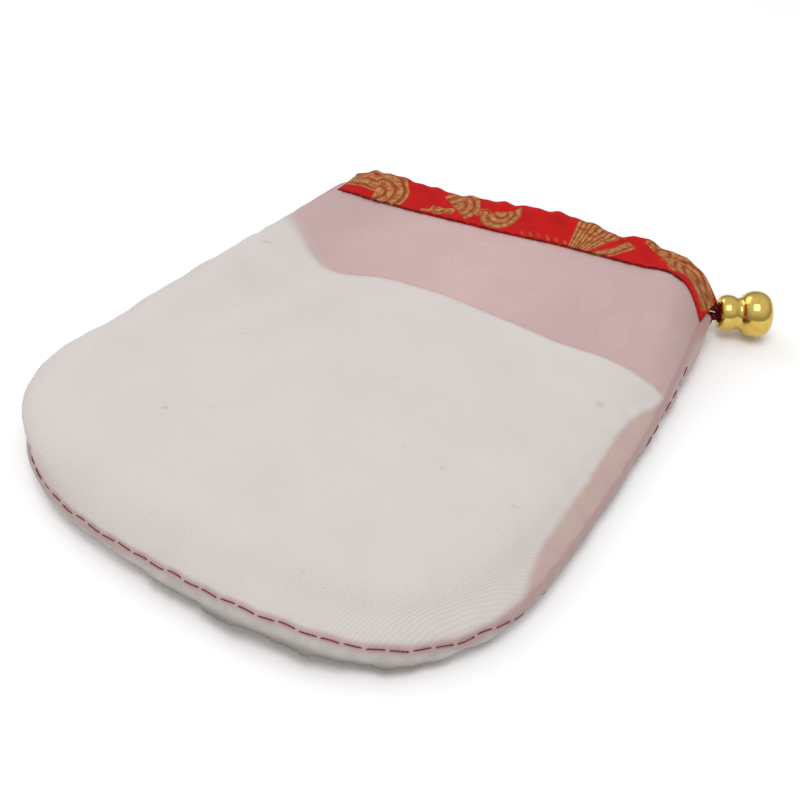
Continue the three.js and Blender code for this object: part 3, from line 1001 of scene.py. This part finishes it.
def seam_stitches(side, name):
    """Lockstitches: each dips into the cloth at both ends."""
    parts = []
    total = OUTLINE.length * SEWN_SHARE
    share = np.linspace(0, 1, STEPS_A_STITCH)
    lift = (np.sin(share * math.pi) ** 0.5 * 0.24 - 0.1)[:, None]
    for k in range(int(2 * total / STITCH)):
        arc = -total + (k + share * (1 - STITCH_GAP) + STITCH_GAP / 2) * STITCH
        t = arc / OUTLINE.length
        tucked = (ease(t, 0.36, 0.42) + ease(-t, 0.32, 0.42))[:, None]
        base = mix(on_ring(0, side, t), on_ring(1, side, t), tucked)
        under = ease(t, 0.38, 0.44) * (1 - ease(t, 0.66, 0.72))
        base = mix(base, on_ring(3, side, t), under[:, None])
        out = np.column_stack([OUTLINE.outward(t), np.zeros(STEPS_A_STITCH)])
        tilt = np.radians(through(SEAM_DROOP, t) * 0.3)[:, None]
        normal = out * np.sin(tilt) + np.array([0, 0, side]) * np.cos(tilt)
        sway = 0.1 * math.sin(k * 2.1)
        sunk = (0.19 * ease(-t, 0.06, 0.24) + 0.26 * ease(t, 0.66, 0.72))[:, None]
        parts.append(tube_mesh(base + out * (0.12 + sway) + normal * (lift - sunk), THREAD, 6))
    piece = join_parts(name, parts, SEAM_THREAD)
    return gathers(piece, name)


seam_stitches(UPPER, "seam_needle_thread")
seam_stitches(LOWER, "seam_bobbin_thread")


CASING_STITCH = 2.4
CASING_UNSEWN = 1.5                           # at each end of the casing
CASING_THREAD_RADIUS = 0.14


def casing_stitches(side, name):
    parts = []
    line_y = CASING_EDGE + 0.55
    row = next(r for r in PLAN.index if PLAN.points[r, 1].mean() > line_y)
    row_x = PLAN.points[row, 0]
    row_z = FACE[side][row, 2] + side * (0.07 + BROCADE)
    for k in range(int(2 * (MOUTH_HALF - CASING_UNSEWN) / CASING_STITCH)):
        start = -MOUTH_HALF + CASING_UNSEWN + k * CASING_STITCH
        x = start + np.linspace(0.3, CASING_STITCH - 0.3, 7)
        share = np.linspace(0, 1, 7)
        lift = np.sin(share * math.pi) ** 0.5 * 0.16 - 0.1
        z = np.interp(x, row_x, row_z) + side * lift
        y = np.full(7, line_y) + 0.1 * math.sin(k * 1.7)
        parts.append(tube_mesh(np.column_stack([x, y, z]), CASING_THREAD_RADIUS, 6))
    piece = join_parts(name, parts, CASING_THREAD)
    return gathers(piece, name)


casing_stitches(UPPER, "upper_casing_stitching")
casing_stitches(LOWER, "lower_casing_stitching")


# ---------------------------------------------------------------- bead and drawcord

BEAD_YAW = math.radians(30)
BEAD_AXIS = np.array([math.cos(BEAD_YAW), math.sin(BEAD_YAW), 0])
SIDEWAYS = np.array([-BEAD_AXIS[1], BEAD_AXIS[0], 0])
UPWARD = np.array([0.0, 0.0, 1.0])
BEAD_BORE = 1.85

# (radius, distance along the axis) of the gourd's outside, then of its hollow
GOURD = (
    (2.0, 0.06), (2.3, 0.0), (2.75, 0.2), (3.1, 0.75), (3.27, 1.6), (3.2, 2.5), (2.92, 3.15),
    (2.8, 3.6), (2.95, 4.0), (3.45, 4.5), (3.9, 5.2), (4.15, 6.1), (4.17, 7.0), (3.98, 7.9),
    (3.5, 8.7), (2.75, 9.25), (1.8, 9.5), (0.9, 9.58), (0.0, 9.6),
)
HOLLOW = (
    (0.0, 8.8), (1.6, 8.6), (2.7, 7.7), (3.0, 6.7), (2.7, 5.5), (BEAD_BORE, 4.4),
    (BEAD_BORE, 2.4), (BEAD_BORE, 0.4), (1.9, 0.14), (2.0, 0.06),
)


def bead_start():
    """The middle of the bead's near end, from the places of its CAD solid."""
    points = np.array([v.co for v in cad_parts["gourd_bead"].data.vertices]) / MM
    along, across, up = points @ BEAD_AXIS, points @ SIDEWAYS, points[:, 2]
    middle = [(part.max() + part.min()) / 2 for part in (across, up)]
    return BEAD_AXIS * along.min() + SIDEWAYS * middle[0] + UPWARD * middle[1]


BEAD_START = bead_start()


def spun(profile, smooth=4):
    """A smooth curve through the profile's stops."""
    stops = np.array(profile, float)
    number = np.arange(len(stops))
    fine = np.linspace(0, len(stops) - 1, (len(stops) - 1) * smooth + 1)
    radius = through(np.column_stack([number, stops[:, 0]]), fine)
    return np.maximum(radius, 0), through(np.column_stack([number, stops[:, 1]]), fine)


def gourd_bead(sides=96):
    outer_radius, outer_along = spun(GOURD)
    hollow_radius, hollow_along = spun(HOLLOW)
    radius = np.concatenate([outer_radius, hollow_radius[:-1]])
    along = np.concatenate([outer_along, hollow_along[:-1]])
    angle = np.linspace(0, TAU, sides, endpoint=False)
    circle = SIDEWAYS * np.cos(angle)[:, None] + UPWARD * np.sin(angle)[:, None]
    points, rings = [], []
    for r, a in zip(radius, along):
        count = len(points)
        if r < 1e-6:
            rings.append([count] * sides)
            points.append(BEAD_START + BEAD_AXIS * a)
        else:
            rings.append(list(range(count, count + sides)))
            points.extend(BEAD_START + BEAD_AXIS * a + circle * r)
    faces = []
    for first, second in zip(rings, rings[1:] + rings[:1]):
        if first[0] == first[1] and second[0] == second[1]:
            continue
        for k in range(sides):
            n = (k + 1) % sides
            faces.append(list(dict.fromkeys([first[k], second[k], second[n], first[n]])))
    piece = join_parts("gourd_bead_polished", [(points, faces)], BRASS)
    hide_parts("gourd_bead")
    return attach(piece, "bead")


def smooth_path(stops, step):
    """Evenly spaced points on a curve through a few stops."""
    stops = np.array(stops, float)
    arc = np.concatenate([[0], np.cumsum(np.linalg.norm(np.diff(stops, axis=0), axis=1))])
    place = np.linspace(0, arc[-1], max(int(arc[-1] / step), 8))
    return np.column_stack([through(np.column_stack([arc, stops[:, k]]), place) for k in range(3)])


CORD_RADIUS = 0.7
TAIL_START = 30.0
LOOP_END = -35.5


def drawcord():
    strands = {side: fold_line(side)[::8] for side in (UPPER, LOWER)}
    inside = {}
    for side, line in strands.items():
        inside[side] = line[(line[:, 0] > LOOP_END) & (line[:, 0] < TAIL_START)]
    left_top, left_low = inside[UPPER][0], inside[LOWER][0]
    half = (left_top[2] - left_low[2]) / 2
    turn = (left_top + left_low) / 2 - np.array([half, 0, 0])
    route = np.concatenate([inside[UPPER][::-1], [turn], inside[LOWER]])
    tube = tube_mesh(smooth_path(route, 0.8), CORD_RADIUS, 12)
    gathers(join_parts("drawcord_loop", [tube], RED_CORD), "drawcord")
    parts = []
    for side in (UPPER, LOWER):
        lead = strands[side][strands[side][:, 0] >= TAIL_START - 0.5]
        rise = UPWARD * side * (CORD_RADIUS + 0.12)
        into = [BEAD_START + BEAD_AXIS * a + rise for a in (0.0, 2.5, 5.5)]
        parts.append(tube_mesh(smooth_path([*lead, *into], 0.4), CORD_RADIUS, 12))
    tail = join_parts("drawcord_ends", parts, RED_CORD)
    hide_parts("drawcord")
    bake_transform(tail)


gourd_bead()
drawcord()


# ---------------------------------------------------------------- stage, light and camera

# The sky is dim at the horizon and bright overhead: (low, high) of the direction's height,
# then the strength there.
SKY = (0.1, 0.8, 0.40, 0.84)


def floor():
    half = 1.2
    mesh = bpy.data.meshes.new("floor")
    corners = [(-half, -half, 0), (half, -half, 0), (half, half, 0), (-half, half, 0)]
    mesh.from_pydata(corners, [], [(0, 1, 2, 3)])
    paint = Paint("pale_floor", Roughness=0.9, Specular_IOR_Level=0.1)
    paint.shader.inputs["Base Color"].default_value = (0.93, 0.93, 0.93, 1)
    mesh.materials.append(paint.material)
    plane = bpy.data.objects.new("floor", mesh)
    bpy.context.scene.collection.objects.link(plane)


def soft_light(name, place, target, size, power):
    data = bpy.data.lights.new(name, "AREA")
    data.shape = "RECTANGLE"
    data.size, data.size_y = size
    data.energy = power
    lamp = bpy.data.objects.new(name, data)
    lamp.location = place
    lamp.rotation_mode = "QUATERNION"
    lamp.rotation_quaternion = (Vector(target) - Vector(place)).to_track_quat("-Z", "Y")
    bpy.context.scene.collection.objects.link(lamp)


def studio():
    world = bpy.data.worlds.new("studio")
    world.use_nodes = True
    tree = world.node_tree
    where = tree.nodes.new("ShaderNodeTexCoord")
    apart = tree.nodes.new("ShaderNodeSeparateXYZ")
    sky = tree.nodes.new("ShaderNodeMapRange")
    sky.interpolation_type = "SMOOTHSTEP"
    for socket, value in zip(("From Min", "From Max", "To Min", "To Max"), SKY):
        sky.inputs[socket].default_value = value
    tree.links.new(where.outputs["Generated"], apart.inputs[0])
    tree.links.new(apart.outputs["Z"], sky.inputs["Value"])
    tree.links.new(sky.outputs[0], tree.nodes["Background"].inputs["Strength"])
    tree.nodes["Background"].inputs["Color"].default_value = (1, 1, 1, 1)
    bpy.context.scene.world = world
    soft_light("overhead", (0.125, -0.2, 0.66), (0, 0, 0), (0.34, 0.34), 1.9)
    soft_light("side", (-0.55, 0.2, 0.45), (0, 0, 0), (0.5, 0.4), 0.8)
    bpy.context.scene.view_settings.view_transform = "Standard"


CAMERA_AZIMUTH = 31.4
CAMERA_HEIGHT = 40.3
CAMERA_ROLL = 1.9
CAMERA_DISTANCE = 215.7
CAMERA_TARGET = (3.1, 4.5, 0.0)
LENS = 57.56


def camera():
    azimuth, height, roll = (math.radians(v) for v in (CAMERA_AZIMUTH, CAMERA_HEIGHT, CAMERA_ROLL))
    back = Vector((math.sin(azimuth) * math.cos(height), -math.cos(azimuth) * math.cos(height),
                   math.sin(height)))
    data = bpy.data.cameras.new("camera")
    data.lens = LENS
    data.clip_start = 0.005
    eye = bpy.data.objects.new("camera", data)
    right = (-back).cross(Vector((0, 0, 1))).normalized()
    up = right.cross(-back)
    level = right * math.cos(roll) + up * math.sin(roll)
    upright = up * math.cos(roll) - right * math.sin(roll)
    turn = Matrix((level, upright, back)).transposed().to_4x4()
    place = (Vector(CAMERA_TARGET) + back * CAMERA_DISTANCE) * MM
    eye.matrix_world = Matrix.Translation(place) @ turn
    bpy.context.scene.collection.objects.link(eye)
    bpy.context.scene.camera = eye


floor()
studio()
camera()
